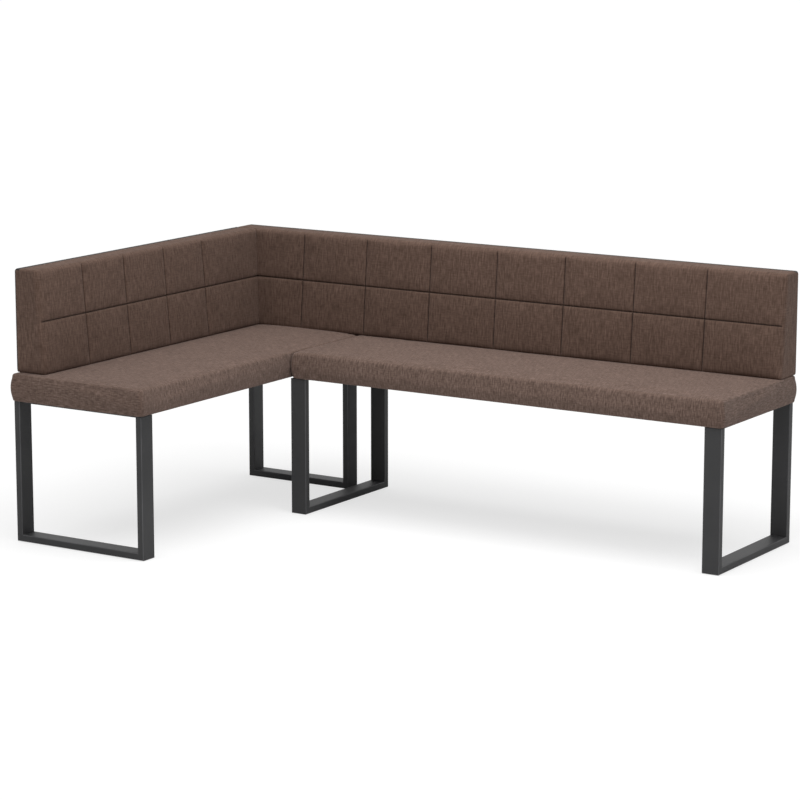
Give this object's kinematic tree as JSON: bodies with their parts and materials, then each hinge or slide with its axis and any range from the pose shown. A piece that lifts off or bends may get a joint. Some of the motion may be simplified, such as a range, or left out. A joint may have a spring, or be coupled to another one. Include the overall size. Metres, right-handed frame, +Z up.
{
  "type": "corner bench",
  "caption": "L-shaped upholstered corner bench with quilted backrests on flat-tube hoop legs, for seating along two walls beside a dining table.",
  "frame": {"origin": "on the floor, under the middle of the bench's bounding box", "axes": "+Z up, +X along the long wing away from the wall corner, -Y along the short wing away from the wall corner"},
  "size_m": [2.0138, 1.2622, 0.833],
  "materials": {
    "leg_steel": "matt anthracite powder coat",
    "strap_steel": "matt anthracite powder coat",
    "screw_steel": "zinc plated",
    "glide_plastic": "matt black",
    "seat_fabric": "brown woven upholstery fabric",
    "back_fabric": "brown woven upholstery fabric, quilted",
    "lining_cloth": "charcoal lining cloth",
    "dust_cloth": "black non-woven cloth",
    "foam": "polyurethane foam",
    "timber": "planed pine",
    "plywood": "plywood"
  },
  "bodies": {
    "root": {"back_strap_screws": "screw_steel", "leg_screws": "screw_steel", "long_back_board": "plywood", "long_back_cover": "back_fabric", "long_back_foam": "foam", "long_back_lining": "lining_cloth", "long_back_strap_corner": "strap_steel", "long_back_strap_end": "strap_steel", "long_back_strap_middle": "strap_steel", "long_end_leg_floor_rail": "leg_steel", "long_end_leg_glides": "glide_plastic", "long_end_leg_room_post": "leg_steel", "long_end_leg_top_plate": "leg_steel", "long_end_leg_wall_post": "leg_steel", "long_inner_leg_floor_rail": "leg_steel", "long_inner_leg_glides": "glide_plastic", "long_inner_leg_room_post": "leg_steel", "long_inner_leg_top_plate": "leg_steel", "long_inner_leg_wall_post": "leg_steel", "long_seat_cover": "seat_fabric", "long_seat_cross_rails": "timber", "long_seat_deck": "plywood", "long_seat_dust_cover": "dust_cloth", "long_seat_foam": "foam", "long_seat_room_rail": "timber", "long_seat_wall_rail": "timber", "seat_strap_screws": "screw_steel", "short_back_board": "plywood", "short_back_cover": "back_fabric", "short_back_foam": "foam", "short_back_lining": "lining_cloth", "short_back_strap_corner": "strap_steel", "short_back_strap_front": "strap_steel", "short_corner_leg_floor_rail": "leg_steel", "short_corner_leg_glides": "glide_plastic", "short_corner_leg_room_post": "leg_steel", "short_corner_leg_top_plate": "leg_steel", "short_corner_leg_wall_post": "leg_steel", "short_end_leg_floor_rail": "leg_steel", "short_end_leg_glides": "glide_plastic", "short_end_leg_room_post": "leg_steel", "short_end_leg_top_plate": "leg_steel", "short_end_leg_wall_post": "leg_steel", "short_seat_cover": "seat_fabric", "short_seat_cross_rails": "timber", "short_seat_deck": "plywood", "short_seat_dust_cover": "dust_cloth", "short_seat_foam": "foam", "short_seat_room_rail": "timber", "short_seat_wall_rail": "timber"}
  },
  "joints": []
}
